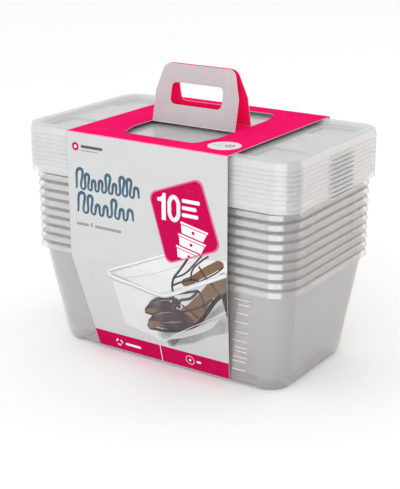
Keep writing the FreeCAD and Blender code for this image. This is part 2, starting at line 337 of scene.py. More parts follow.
# materials
def newMaterial(name):
    material = bpy.data.materials.new(name)
    material.use_nodes = True
    tree = material.node_tree
    place = addNode(tree, "ShaderNodeTexCoord", (-900, 0)).outputs["Object"]
    return material, tree, tree.nodes["Principled BSDF"], place


def bumped(tree, height, shader, strength, distance):
    bump = addNode(tree, "ShaderNodeBump", (-250, -300))
    fill(tree, bump, {"Height": height, "Strength": strength, "Distance": distance})
    fill(tree, shader, {"Normal": bump.outputs["Normal"]})


plastics = {
    # edge: how much denser and whiter a wall seen edge on looks; the whitening is a painted highlight
    "tubPlastic": {"tint": ink(208, 206, 203), "density": 0.20, "edge": 0.6, "gloss": 0.09,
                   "cloud": 0.012, "flow": 0.010, "scuff": 0.02},
    "lidPlastic": {"tint": ink(224, 225, 226), "density": 0.40, "edge": 0.25, "gloss": 0.06,
                   "cloud": 0.012, "flow": 0.008, "scuff": 0.02},
    "scalePlastic": {"tint": ink(250, 250, 250), "density": 0.85, "edge": 0.1, "gloss": 0.03,
                     "cloud": 0.03, "flow": 0.02, "scuff": 0.0},
}


sheenLook = {
    # the edge colour is a painted highlight laid on walls seen edge on
    "edgePower": 4.0, "edgeWhiteAndHighlight": ink(248, 248, 248),
    "glancePower": 5.0, "glanceMost": 0.8,
    "bumpStrength": 0.02, "bumpDistance": 0.05 * mm,
}


def plasticMaterial(name, values):
    material, tree, shader, place = newMaterial(name)
    finish = addNode(tree, "ShaderNodeGroup", (-550, 100), node_tree=moulded)
    fill(tree, finish, {label: values[label.lower()]
                        for label in ("Tint", "Density", "Cloud", "Flow", "Scuff")})
    fill(tree, finish, {"Place": place})
    # walls seen edge on look denser, a real thickening, and whiter, a painted highlight along the bright
    # edges
    facing = addNode(tree, "ShaderNodeLayerWeight", (-900, 350))
    fill(tree, facing, {"Blend": 0.5})
    edge = worked(tree, "POWER", (-700, 350), facing.outputs["Facing"], sheenLook["edgePower"])
    edge = worked(tree, "MULTIPLY", (-500, 350), edge, values["edge"])
    denser = worked(tree, "ADD", (-300, 50), finish.outputs["Alpha"], edge)
    whiterEdgeAndHighlight = blended(tree, (-300, 300), edge, finish.outputs["Colour"], sheenLook["edgeWhiteAndHighlight"])
    fill(tree, shader, {"Base Color": whiterEdgeAndHighlight, "Alpha": denser, "Specular IOR Level": 0.0,
                        "Roughness": finish.outputs["Roughness"]})
    # the sheen lies over the clear wall, whatever its density
    sheen = addNode(tree, "ShaderNodeBsdfGlossy", (50, -350))
    fill(tree, sheen, {"Roughness": finish.outputs["Roughness"]})
    glance = worked(tree, "POWER", (50, 350), facing.outputs["Facing"], sheenLook["glancePower"])
    glance = ranged(tree, glance, (250, 350), values["gloss"], sheenLook["glanceMost"])
    both = addNode(tree, "ShaderNodeMixShader", (450, 0))
    fill(tree, both, {0: glance, 1: shader.outputs["BSDF"], 2: sheen.outputs["BSDF"]})
    fill(tree, tree.nodes["Material Output"], {"Surface": both.outputs["Shader"]})
    bumped(tree, finish.outputs["Height"], sheen, sheenLook["bumpStrength"], sheenLook["bumpDistance"])
    return material


cards = {
    # ink, mottle, fibre, scuff
    "printedPink": (ink(238, 26, 104), 0.04, 0.2, 0.05),
    "printedGrey": (ink(190, 190, 190), 0.02, 0.2, 0.05),
    # lighter pink of the upper folds: partly worn print, partly a painted highlight along the fold
    "foldWearAndHighlight": (ink(233, 142, 172), 0.16, 0.8, 0.0),
    "plainInside": (ink(184, 176, 179), 0.04, 0.8, 0.03),
    "cutEdge": (ink(224, 210, 212), 0.10, 1.0, 0.0),
    "inkTag": (ink(180, 14, 74), 0.04, 0.2, 0.03),
    "inkTagEdge": (ink(200, 104, 134), 0.05, 0.2, 0.0),
    "inkWhite": (ink(222, 220, 221), 0.03, 0.2, 0.0),
    "inkTitle": (ink(72, 98, 115), 0.08, 0.3, 0.0),
    "inkSmall": (ink(138, 144, 149), 0.08, 0.3, 0.0),
    "inkDark": (ink(87, 89, 94), 0.08, 0.3, 0.0),
    "pictureTable": (ink(186, 186, 186), 0.03, 0.2, 0.0),
    "pictureInside": (ink(206, 206, 207), 0.04, 0.2, 0.0),
    "pictureWall": (ink(195, 196, 197), 0.04, 0.2, 0.0),
    "pictureBottom": (ink(172, 172, 172), 0.05, 0.2, 0.0),
    "pictureRim": (ink(216, 217, 218), 0.03, 0.2, 0.0),
    "pictureRimShade": (ink(167, 168, 171), 0.05, 0.2, 0.0),
    "pictureLeather": (ink(70, 58, 62), 0.45, 1.2, 0.0),
    "pictureSheen": (ink(121, 110, 113), 0.30, 0.9, 0.0),
    "pictureStrap": (ink(79, 70, 73), 0.30, 0.9, 0.0),
    "pictureSole": (ink(54, 45, 47), 0.20, 0.5, 0.0),
    "pictureInsole": (ink(115, 92, 75), 0.20, 0.8, 0.0),
}


def cardMaterial(name, colour, mottle, fibre, scuff):
    material, tree, shader, place = newMaterial(name)
    finish = addNode(tree, "ShaderNodeGroup", (-550, 100), node_tree=cardStock)
    fill(tree, finish, {"Place": place, "Ink": colour, "Mottle": mottle, "Fibre": fibre,
                        "Scuff": scuff})
    fill(tree, shader, {"Base Color": finish.outputs["Colour"], "Specular IOR Level": 0.0,
                        "Roughness": finish.outputs["Roughness"]})
    bumped(tree, finish.outputs["Height"], shader, 0.08, 0.1 * mm)
    return material


finishes = {name: plasticMaterial(name, values) for name, values in plastics.items()}
finishes.update({name: cardMaterial(name, *values) for name, values in cards.items()})


def filmMaterial(name, colour, strength):
    # a see-through printed wall, a little denser in streaks
    material, tree, shader, place = newMaterial(name)
    streak = noiseFrom(tree, place, (-600, 0), grains["streak"], stretch=(1, 1, 0.2))
    density = ranged(tree, streak, (-350, 0), strength * 0.7, strength * 1.3, *grains["middle"])
    tone = blended(tree, (-350, 250), streak, colour, tuple(0.94 * part for part in colour))
    fill(tree, shader, {"Base Color": tone, "Alpha": density, "Roughness": 0.45})
    return material


films = {
    "pictureFilm": (ink(226, 227, 229), 0.05),
    "pictureEndFilm": (ink(226, 227, 228), 0.08),
    "pictureShadow": (ink(120, 118, 117), 0.12),
}
finishes.update({name: filmMaterial(name, *values) for name, values in films.items()})
print("materials ready:", len(finishes))


# camera, light and floor
studio = {
    "cameraAt": (0.7059, -1.0583, 0.5478),
    "cameraTilt": 71.36, "cameraTurn": 33.73, "cameraRoll": 0.19,
    "lens": 86.86,
    "floorSize": 40.0, "floorHeight": -0.2 * mm, "floorColour": (0.96, 0.96, 0.96, 1),
    "skyStrength": 1.05,
    "darkSide": 0.22, "darkFrom": 0.66, "darkTo": 0.84,    # the room's darker side, towards +X
    "lightsAim": (0, 0, 0.15),
    "lights": (
        # name, place, width, height, power, tint
        ("softFront", (0.95, -2.15, 0.62), 2.4, 1.3, 21, (0.97, 0.98, 1.0)),
        ("softLeft", (-1.15, -2.2, 0.62), 1.9, 1.3, 6, (0.97, 0.98, 1.0)),
        ("softRight", (1.4, 1.9, 0.6), 1.5, 1.1, 9, (1.0, 0.88, 0.74)),
    ),
}


def buildStudio(values):
    scene = bpy.context.scene
    scene.view_settings.view_transform = "Standard"
    scene.cycles.transparent_max_bounces = 96
    scene.cycles.max_bounces = 10

    camera = added("camera", bpy.ops.object.camera_add, location=values["cameraAt"])
    camera.rotation_euler = (math.radians(values["cameraTilt"]), math.radians(values["cameraRoll"]),
                             math.radians(values["cameraTurn"]))
    camera.data.lens = values["lens"]
    camera.data.clip_start = 0.05
    camera.data.clip_end = 40
    scene.camera = camera

    world = bpy.data.worlds.new("paleRoom")
    scene.world = world
    world.use_nodes = True
    room = world.node_tree
    towards = addNode(room, "ShaderNodeTexCoord", (-900, 0))
    split = addNode(room, "ShaderNodeSeparateXYZ", (-700, 0))
    fill(room, split, {"Vector": towards.outputs["Generated"]})
    shade = ranged(room, split.outputs["X"], (-450, 0), values["skyStrength"], values["darkSide"],
                   values["darkFrom"], values["darkTo"])
    fill(room, room.nodes["Background"], {"Color": (1, 1, 1, 1), "Strength": shade})

    for name, place, width, height, power, tint in values["lights"]:
        lamp = added(name, bpy.ops.object.light_add, type="AREA", location=place)
        lamp.data.shape = "RECTANGLE"
        lamp.data.size = width
        lamp.data.size_y = height
        lamp.data.energy = power
        lamp.data.color = tint
        aim = Vector(values["lightsAim"]) - Vector(place)
        lamp.rotation_euler = aim.to_track_quat("-Z", "Y").to_euler()

    floor = added("floor", bpy.ops.mesh.primitive_plane_add, size=values["floorSize"],
                  location=(0, 0, values["floorHeight"]))
    paper, tree, shader, place = newMaterial("paleFloor")
    fill(tree, shader, {"Base Color": values["floorColour"], "Roughness": 0.9})
    floor.data.materials.append(paper)
    print("studio ready")


buildStudio(studio)


# printed card sleeve, one sheet bent round the stack
sleeve = {
    "thickness": 0.6 * mm,
    "foldRound": 0.9 * mm, "foldSteps": 3,
    "cutGap": 0.3 * mm,           # die-cut line between a flap and its window
    "creaseGap": 0.45 * mm,       # from the hinge line to the window's straight edge
    "creaseRadius": 0.42 * mm,    # pressed bead along each hinge line
    "creaseShort": 1.2 * mm,      # how much shorter it is than the flap is wide
    "creaseSides": 14, "creaseInset": 0.15 * mm, "creaseSwell": 1.002,
    "baseReach": 78.98 * mm,      # half the sleeve's depth at its base
    "flatNormal": 0.9,            # a face whose normal rises more than this lies on top
    "wideFace": 0.004,            # square metres; a panel is larger and a strip of a fold smaller
    "cutterDepth": 8 * mm,
}
topLow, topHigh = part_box("sleeve_top_panel")
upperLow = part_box("sleeve_front_panel_upper")[0]
bottomLow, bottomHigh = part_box("sleeve_bottom_panel")
cardFront = topLow.y
foldHeight = upperLow.z
bottomHalf = bottomHigh.x
lowerRun = foldHeight - bottomLow.z
lowerReach = sleeve["baseReach"]
slant = math.atan((topHigh.y - lowerReach) / lowerRun)
sideSlope = (topHigh.x - bottomHalf) / lowerRun
hinges = {joint["child"]: Vector(joint["pos_m"]) for joint in frame["joints"] if "pos_m" in joint}

flap = {
    "length": 65.2 * mm, "width": 108 * mm, "endWidth": 90 * mm, "straight": 34 * mm,
    "farCut": 6.75 * mm, "farSteps": 9,       # rounding of the two corners at the free edge
    "bendCut": 1.26 * mm, "bendSteps": 3,     # and of the bend where the sides start to taper
    "cutShare": 0.75, "bendShare": 0.14,      # how much of an outline's growth they take up
    "holeSize": (67 * mm, 24 * mm), "holeStart": 21 * mm, "holeRound": 6 * mm,
    "holeSteps": 7,
    "edgeSoft": 0.09 * mm,
}


def roundCorners(obj, test, amount, steps):
    openEdit(obj, "VERT")
    if choose(obj, "VERT", test):
        bpy.ops.mesh.bevel(offset=amount, offset_type="OFFSET", segments=steps, affect="VERTICES")
    closeEdit()


def flapBlank(name, grow, start, depth, values):
    # flat outline towards -Y from the hinge line at Y = 0, with its far corners rounded
    wide, narrow = values["width"] / 2 + grow, values["endWidth"] / 2 + grow
    end = values["length"] + grow
    blank = added(name, bpy.ops.mesh.primitive_plane_add, size=1, location=(0, 0, 0))
    openEdit(blank, "VERT")
    chooseAll()
    bpy.ops.transform.resize(value=(2 * wide, end - start, 1))
    bpy.ops.transform.translate(value=(0, -(end + start) / 2, 0))
    bpy.ops.mesh.bisect(plane_co=(0, -values["straight"], 0), plane_no=(0, 1, 0))
    choose(blank, "VERT", lambda v: v.co.y < -end + 0.1 * mm)
    bpy.ops.transform.resize(value=(narrow / wide, 1, 1), center_override=(0, 0, 0))
    closeEdit()
    roundCorners(blank, lambda v: v.co.y < -end + 0.1 * mm,
                 values["farCut"] + values["cutShare"] * grow, values["farSteps"])
    roundCorners(blank, lambda v: abs(v.co.y + values["straight"]) < 0.1 * mm,
                 values["bendCut"] + values["bendShare"] * grow, values["bendSteps"])
    finishWith(blank, "SOLIDIFY", thickness=depth, offset=0)
    faceOut(blank)
    return blank


def roundedBlock(name, centre, size, rounding, steps, depth):
    made = added(name, bpy.ops.mesh.primitive_plane_add, size=1, location=centre)
    made.scale = (*size, 1)
    settle(made)
    roundCorners(made, lambda v: True, rounding, steps)
    finishWith(made, "SOLIDIFY", thickness=depth, offset=0)
    faceOut(made)
    return made


def cutAway(obj, cutter):
    finishWith(obj, "BOOLEAN", operation="DIFFERENCE", object=cutter, solver="EXACT")
    bpy.data.objects.remove(cutter)


def buildSleeve(values):
    card = added("card_sleeve", bpy.ops.mesh.primitive_cube_add, size=1,
                 location=(0, 0, (topHigh.z + bottomLow.z) / 2))
    card.scale = (2 * topHigh.x, 2 * topHigh.y, topHigh.z - bottomLow.z)
    settle(card)
    openEdit(card, "VERT")
    chooseAll()
    bpy.ops.mesh.bisect(plane_co=(0, 0, foldHeight), plane_no=(0, 0, 1))
    choose(card, "VERT", lambda v: v.co.z < bottomLow.z + mm)
    bpy.ops.transform.resize(value=(bottomHalf / topHigh.x, lowerReach / topHigh.y, 1),
                             center_override=(0, 0, bottomLow.z))
    choose(card, "EDGE", lambda e: abs(e.verts[0].co.x - e.verts[1].co.x) > topHigh.x)
    bpy.ops.mesh.bevel(offset=values["foldRound"], offset_type="OFFSET",
                       segments=values["foldSteps"], affect="EDGES")
    choose(card, "FACE", lambda f: abs(f.normal.x) > 0.5)
    bpy.ops.mesh.delete(type="FACE")
    closeEdit()

    paint(card, "printedPink", "printedGrey", "foldWearAndHighlight", "cutEdge", "plainInside")
    # pink on top, a lighter pink line along the two upper folds that is partly worn print and partly a
    # painted highlight, grey below
    for face in card.data.polygons:
        nearTop = face.center.z > topHigh.z - 2 * values["foldRound"]
        if face.area < values["wideFace"]:
            face.material_index = 2 if nearTop else 1
        else:
            face.material_index = 0 if face.normal.z > values["flatNormal"] else 1
    inner = len(card.data.materials)      # past the end, so the inside and the rim take the last
    finishWith(card, "SOLIDIFY", thickness=values["thickness"], offset=-1, use_even_offset=True,
               material_offset=inner, material_offset_rim=inner)
    for face in card.data.polygons:
        if abs(face.normal.x) > 0.7:
            face.material_index = 3
    for side, body in ((1, "flap_front"), (-1, "flap_rear")):
        window = flapBlank("window", values["cutGap"], -values["creaseGap"], values["cutterDepth"], flap)
        paint(window, *card.data.materials.keys())
        for face in window.data.polygons:
            face.material_index = 3
        window.rotation_euler.z = 0 if side > 0 else math.pi
        window.location = hinges[body]
        settle(window)
        cutAway(card, window)
    faceOut(card)
    softShade(card, 40)
    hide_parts("sleeve_top_panel", "sleeve_front_panel_upper", "sleeve_front_panel_lower",
                "sleeve_back_panel_upper", "sleeve_back_panel_lower", "sleeve_bottom_panel")
    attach(card, "sleeve")
    print("sleeve ready:", len(card.data.polygons), "faces")


buildSleeve(sleeve)


# folding handle flaps
def buildFlap(name, body, node, turn, values):
    blank = flapBlank(name, 0, sleeve["creaseGap"], sleeve["thickness"], values)
    across, along = values["holeSize"]
    hole = roundedBlock("hole", (0, -(values["holeStart"] + along / 2), 0), (across, along),
                        values["holeRound"], values["holeSteps"], sleeve["cutterDepth"])
    cutAway(blank, hole)
    finishWith(blank, "BEVEL", width=values["edgeSoft"], segments=2, limit_method="ANGLE",
               angle_limit=math.radians(40))
    paint(blank, "printedPink", "plainInside", "cutEdge")
    for face in blank.data.polygons:
        if face.normal.z > 0.99:
            face.material_index = 0
        elif face.normal.z < -0.99:
            face.material_index = 1
        else:
            face.material_index = 2
    low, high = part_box(node)
    hinge = hinges[body]
    lean = math.asin(min(1, (abs(hinge.y) - min(abs(low.y), abs(high.y))) / values["length"]))
    blank.rotation_euler = (-math.pi / 2 - lean, 0, 0)
    settle(blank)
    blank.rotation_euler = (0, 0, turn)
    blank.location = hinge
    settle(blank)
    softShade(blank, 30)
    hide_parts(node)
    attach(blank, body)


def buildCrease(name, body, values):
    # pressed bead that the flap turns on
    hinge = hinges[body]
    bead = added(name, bpy.ops.mesh.primitive_cylinder_add, vertices=values["creaseSides"],
                 radius=values["creaseRadius"], depth=flap["width"] - values["creaseShort"],
                 location=hinge, rotation=(0, math.pi / 2, 0))
    settle(bead)
    openEdit(bead)
    choose(bead, "FACE", lambda f: abs(f.normal.x) > 0.9)
    bpy.ops.mesh.inset(thickness=values["creaseInset"])
    bpy.ops.transform.resize(value=(values["creaseSwell"], 1, 1), center_override=(0, hinge.y, hinge.z))
    closeEdit()
    paint(bead, "cutEdge")
    softShade(bead, 50)
    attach(bead, "sleeve")


buildFlap("handle_front", "flap_front", "handle_flap_front", 0, flap)
buildFlap("handle_rear", "flap_rear", "handle_flap_rear", math.pi, flap)
buildCrease("crease_front", "flap_front", sleeve)
buildCrease("crease_rear", "flap_rear", sleeve)
paint(nodes["sleeve_glue_flap"], "plainInside")
print("handle ready")


# print on the card: flat shapes in the plane of the upper front panel, in millimetres
printing = {
    "step": 0.03 * mm,            # height of one layer of print
    "sideMargin": 0.15 * mm,      # kept clear along the card's cut sides
}


def flatPatch(name, corners, colour, rounding=0.0, steps=6):
    # straight-sided shape through (x, z) corners
    patch = added(name, bpy.ops.mesh.primitive_circle_add, vertices=len(corners), radius=mm,
                  fill_type="NGON")
    for corner, (x, z) in zip(patch.data.vertices, corners):
        corner.co = (x * mm, cardFront, z * mm)
    if rounding:
        roundCorners(patch, lambda v: True, rounding * mm, steps)
    return paint(patch, colour)


def curveThrough(name, spots, closed):
    curve = bpy.data.curves.new(name, "CURVE")
    spline = curve.splines.new("BEZIER")
    spline.bezier_points.add(len(spots) - 1)
    for point, spot in zip(spline.bezier_points, spots):
        point.co = (spot[0] * mm, spot[1] * mm, 0)
        point.radius = spot[2] if len(spot) > 2 else 1.0
        point.handle_left_type = point.handle_right_type = "AUTO"
    spline.use_cyclic_u = closed
    holder = bpy.data.objects.new(name, curve)
    bpy.context.collection.objects.link(holder)
    return holder


def standUp(holder, colour):
    # the flat curve becomes a mesh and is stood in the card's plane
    pick(holder)
    bpy.ops.object.convert(target="MESH")
    holder.rotation_euler = (math.pi / 2, 0, 0)
    holder.location = (0, cardFront, 0)
    settle(holder)
    openEdit(holder)
    chooseAll()
    bpy.ops.mesh.remove_doubles(threshold=0.02 * mm)
    closeEdit()
    return paint(holder, colour)


def smoothPatch(name, points, colour):
    holder = curveThrough(name, points, True)
    holder.data.dimensions = "2D"
    holder.data.fill_mode = "BOTH"
    holder.data.resolution_u = 8
    return standUp(holder, colour)


def ribbon(name, points, width, colour, closed=False, steps=8):
    # a stroke of the given width; a point may carry its own share of it
    holder = curveThrough(name, points, closed)
    holder.data.dimensions = "3D"
    holder.data.twist_mode = "Z_UP"
    holder.data.resolution_u = steps
    holder.data.extrude = width * mm / 2
    for point in holder.data.splines[0].bezier_points:
        point.tilt = math.pi / 2
    return standUp(holder, colour)


def shrunk(corners, share):
    x = sum(corner[0] for corner in corners) / len(corners)
    z = sum(corner[1] for corner in corners) / len(corners)
    return [(x + share * (cx - x), z + share * (cz - z)) for cx, cz in corners]


def bar(name, left, right, low, high, colour, rounding=None):
    corners = [(left, low), (right, low), (right, high), (left, high)]
    if rounding is None:
        rounding = 0.42 * (high - low)
    return flatPatch(name, corners, colour, rounding, 4)


def roundTheCentre(centre, radius, count):
    angles = [2 * math.pi * k / count for k in range(count)]
    return [(centre[0] + radius * math.cos(a), centre[1] + radius * math.sin(a)) for a in angles]


def ringShape(name, centre, radius, width, colour):
    return ribbon(name, roundTheCentre(centre, radius, 8), width, colour, closed=True, steps=5)


def disc(name, centre, radius, colour, sides=28):
    return flatPatch(name, roundTheCentre(centre, radius, sides), colour)


def layOnCard(part, layer, values):
    # trims the shape to the card, turns what is below the fold onto the slanted panel, and gives
    # the print its thickness
    openEdit(part, "VERT")
    for side in (1, -1):
        edge = side * (topHigh.x - values["sideMargin"])
        for normal in ((side, 0, 0), (side, 0, -sideSlope)):
            chooseAll()
            bpy.ops.mesh.bisect(plane_co=(edge, 0, foldHeight), plane_no=normal, clear_outer=True)
    chooseAll()
    bpy.ops.mesh.bisect(plane_co=(0, 0, foldHeight), plane_no=(0, 0, 1))
    if choose(part, "VERT", lambda v: v.co.z < foldHeight - 0.01 * mm):
        pivot = (0, cardFront, foldHeight)
        bpy.ops.transform.resize(value=(1, 1, 1 / math.cos(slant)), center_override=pivot)
        bpy.ops.transform.rotate(value=-slant, orient_axis="X", center_override=pivot)
    closeEdit()
    facing = sum(face.normal.y * face.area for face in part.data.polygons)
    if facing > 0:
        openEdit(part)
        chooseAll()
        bpy.ops.mesh.flip_normals()
        closeEdit()
    finishWith(part, "SOLIDIFY", thickness=layer * values["step"], offset=1)


def printed(name, layers):
    # lays each (layer, shapes) on the card and joins them; the back panel carries the same print
    parts = []
    for layer, shapes in layers:
        for shape in shapes:
            layOnCard(shape, layer, printing)
            parts.append(shape)
    front = joined(name + "_front", parts)
    back = copyOf(front, name + "_back")
    back.rotation_euler.z = math.pi
    settle(back)
    for piece in (front, back):
        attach(piece, "sleeve")
    print(name, "printed:", len(front.data.polygons), "faces")


# heading: two rows of plain pen waves, a row of bars under them and a round mark above
heading = {
    "stroke": 3.4,
    "rows": (
        # left, right, foot of the wave, slope of the row, peak heights taken in turn
        (-91.5, -7.0, 196.5, 0.012, (23, 18, 12, 13, 21, 12, 21, 20, 12)),
        (-90.5, -15.0, 170.0, 0.012, (23, 21, 12, 12, 21, 12, 13)),
    ),
    "lean": 0.16,
    "footShare": 0.75, "peakShare": 1.15, "endShare": 0.7,        # of the stroke
    "barsLeft": -93.0, "barsFoot": 155.6, "barsHeight": 3.2,
    "barWidths": (17.0, 1.2, 36.0), "barGap": 3.6, "tallShare": 1.6,
    "markAt": (-91.0, 243.6), "markRadius": 4.6,
}


def penWave(name, left, right, foot, slope, peaks, values):
    count = len(peaks)
    pitch = (right - left) / count
    points = []
    for k, peak in enumerate(peaks):
        x = left + k * pitch
        rise = foot + slope * (x - left)
        points.append((x, rise + 0.6, values["footShare"]))
        points.append((x + 0.5 * (pitch + values["lean"] * peak), rise + peak, values["peakShare"]))
    points.append((right, foot + slope * (right - left) + 1.0, values["endShare"]))
    return ribbon(name, points, values["stroke"], "inkTitle", steps=10)


def buildHeading(values):
    waves = [penWave("wave", *row, values) for row in values["rows"]]
    bars = []
    left = values["barsLeft"]
    for width in values["barWidths"]:
        foot = values["barsFoot"]
        high = foot + values["barsHeight"] * (values["tallShare"] if width < values["barsHeight"] else 1)
        bars.append(bar("bar", left, left + width, foot, high, "inkSmall"))
        left += width + values["barGap"]
    x, z = values["markAt"]
    mark = disc("mark", (x, z), values["markRadius"], "inkTag")
    eye = disc("eye", (x, z), 0.42 * values["markRadius"], "inkWhite")
    words = bar("words", x + 7.5, x + 37, z - 0.6, z + 2.6, "inkDark")
    line = bar("line", x + 7.5, x + 31, z - 4.0, z - 2.8, "inkSmall")
    printed("heading", ((1, waves + bars + [mark, words, line]), (2, [eye])))


buildHeading(heading)


# tag with the number of boxes
tag = {
    "corners": ((5.5, 207.5), (28.0, 132.6), (95.2, 160.0), (70.5, 232.2)),
    "rounding": 8.5, "border": 0.962, "firstLayer": 20,           # over every layer of the picture
    "oneAt": 17.0, "zeroCentre": (37.8, 195.2), "zeroHalf": (5.6, 12.3), "digitStroke": 4.7,
    "digitFoot": 180.8, "digitTop": 210.0,
    "lines": ((47.8, 70.0, 203.4), (47.8, 66.0, 195.8), (47.8, 68.0, 188.2)), "lineHeight": 4.0,
    "stackTop": (63.0, 179.6), "stackTurn": -11.5, "stackPitch": 13.6,
    "bodyTop": 32.0, "bodyFoot": 27.0, "bodyHeight": 8.9, "lidSpan": 34.5, "lidHeight": 2.2,
    "lidGap": 0.9, "gripRadius": 1.9,
}


def buildTag(values):
    outer = flatPatch("tagEdge", values["corners"], "inkTagEdge", values["rounding"])
    inner = flatPatch("tagFace", shrunk(values["corners"], values["border"]), "inkTag", values["rounding"])
    left, foot, top = values["oneAt"], values["digitFoot"], values["digitTop"]
    one = flatPatch("one", [(left + 5.4, foot), (left + 10.6, foot), (left + 10.6, top), (left + 7.2, top),
                            (left + 6.0, top - 3.4), (left + 3.6, top - 5.2), (left, top - 5.8),
                            (left, top - 9.4), (left + 5.4, top - 9.4)], "inkWhite")
    x, z = values["zeroCentre"]
    wide, tall = values["zeroHalf"]
    zero = ribbon("zero", [(x + wide, z), (x + 0.86 * wide, z + 0.66 * tall), (x, z + tall),
                           (x - 0.86 * wide, z + 0.66 * tall), (x - wide, z),
                           (x - 0.86 * wide, z - 0.66 * tall), (x, z - tall),
                           (x + 0.86 * wide, z - 0.66 * tall)],
                  values["digitStroke"], "inkWhite", closed=True)
    whites = [one, zero]
    for start, end, low in values["lines"]:
        whites.append(bar("line", start, end, low, low + values["lineHeight"], "inkWhite"))

    turn = math.radians(values["stackTurn"])
    x, z = values["stackTop"]

    def turned(points, drop):
        return [(x + a * math.cos(turn) - (b - drop) * math.sin(turn),
                 z + a * math.sin(turn) + (b - drop) * math.cos(turn)) for a, b in points]

    holds = []
    span, high, tall = values["lidSpan"] / 2, values["lidHeight"], values["bodyHeight"]
    half, base = values["bodyTop"] / 2, values["bodyFoot"] / 2
    under = high + values["lidGap"]
    for level in range(3):
        drop = level * values["stackPitch"]
        lid = flatPatch("lid", turned([(-span, -high), (span, -high), (span, 0), (-span, 0)], drop),
                        "inkWhite")
        body = flatPatch("body", turned([(-base, -under - tall), (base, -under - tall),
                                         (half, -under), (-half, -under)], drop), "inkWhite")
        spot = turned([(0, -under - 0.45 * tall)], drop)[0]
        grip = disc("grip", spot, values["gripRadius"], "inkTag", 18)
        for group, part in ((whites, lid), (whites, body), (holds, grip)):
            trimToTag(part, values)
            if part.data.polygons:
                group.append(part)
            else:
                bpy.data.objects.remove(part)
    printed("tag", enumerate(([outer], [inner], whites, holds), values["firstLayer"]))


def trimToTag(part, values):
    # keeps only what lies above the tag's lower edge
    inner = shrunk(values["corners"], values["border"])
    (x0, z0), (x1, z1) = inner[1], inner[2]
    length = math.hypot(x1 - x0, z1 - z0)
    openEdit(part, "VERT")
    chooseAll()
    bpy.ops.mesh.bisect(plane_co=(x0 * mm, 0, z0 * mm), clear_outer=True,
                        plane_no=((z1 - z0) / length, 0, (x0 - x1) / length))
    closeEdit()


# picture of an open box with a pair of sandals
picture = {
    "table": ((40, 52), (60, 66), (104, 92), (104, 30), (70, 26), (20, 28)),
    "shadow": ((17, 34), (30, 41), (72, 63), (99, 82), (99, 72), (70, 54), (36, 36)),
    "bottom": ((6, 36), (14, 37), (22, 43), (60, 66.5), (98, 90), (100, 104), (70, 84), (40, 62), (14, 52)),
    "under": ((8, 44), (30, 47), (52, 58), (70, 76), (84, 92), (94, 97), (84, 84), (60, 64), (34, 48)),
    "inside": ((-46, 107.5), (23, 139.5), (103, 150), (103, 137.0), (20, 97.5), (9, 94.5)),
    "endWall": ((-50, 97), (-44, 42.2), (-7, 35.9), (0.7, 32.1), (4.5, 91.5)),
    "sideWall": ((4.5, 91.5), (0.7, 32.1), (13.3, 34.9), (21.8, 42.3), (98.9, 92.1), (103, 133),
                 (23.8, 92.6)),
    "rimNear": ((-54.0, 106.2), (-51.5, 103.4), (-20, 97.9), (4.8, 93.8), (16.5, 93.2), (23.8, 95.2),
                (60, 113.9), (103, 135.8)),
    "rimFar": ((-54.0, 106.2), (-51.5, 109.0), (-10, 127.0), (23.2, 141.2), (40, 147.5)),
    "rimWidth": 4.4,
}


